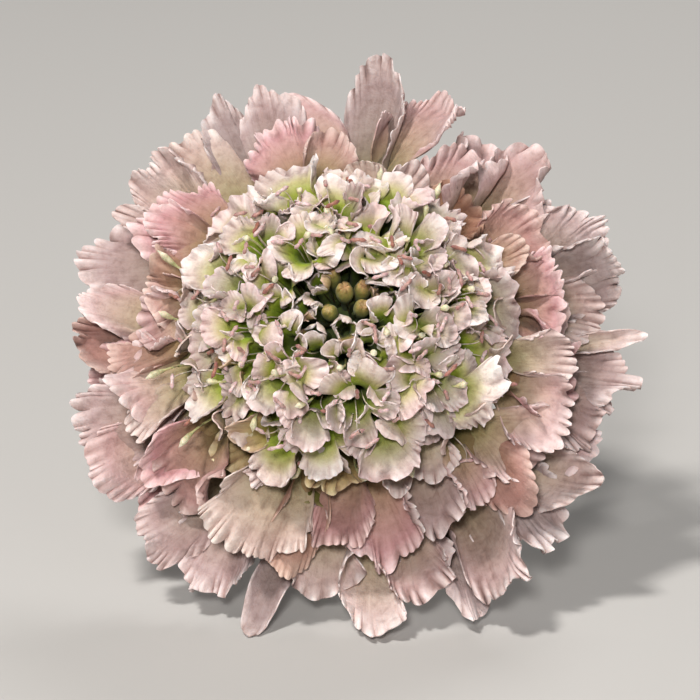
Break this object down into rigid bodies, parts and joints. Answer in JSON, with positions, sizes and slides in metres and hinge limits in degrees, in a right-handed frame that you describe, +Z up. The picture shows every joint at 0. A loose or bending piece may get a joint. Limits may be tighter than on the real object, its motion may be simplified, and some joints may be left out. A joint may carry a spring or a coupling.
{
  "type": "cut scabiosa flower",
  "caption": "Pale pink double scabiosa flower head on a short bare cut stem, lying on a surface with its face turned forwards and up.",
  "frame": {"origin": "on the surface the flower lies on, under the middle of its bounding box", "axes": "+Z up, +Y from the flower's head along its stem to the cut end, so the face of the flower looks towards -Y and up"},
  "size_m": [0.0686, 0.1107, 0.058],
  "materials": {
    "bract": "matt, finely hairy green leaf tissue",
    "bud": "satin olive green buds with a pinkish tip",
    "cream_petal": "matt, thin, translucent cream petal with a green throat and a pink edge",
    "pink_petal": "matt, thin, translucent pale pink petal",
    "stem": "satin green, finely ribbed and hairy"
  },
  "bodies": {
    "root": {"involucre": "bract", "bud_cluster": "bud", "inner_florets": "cream_petal", "outer_florets": "pink_petal", "stem": "stem"}
  },
  "joints": []
}
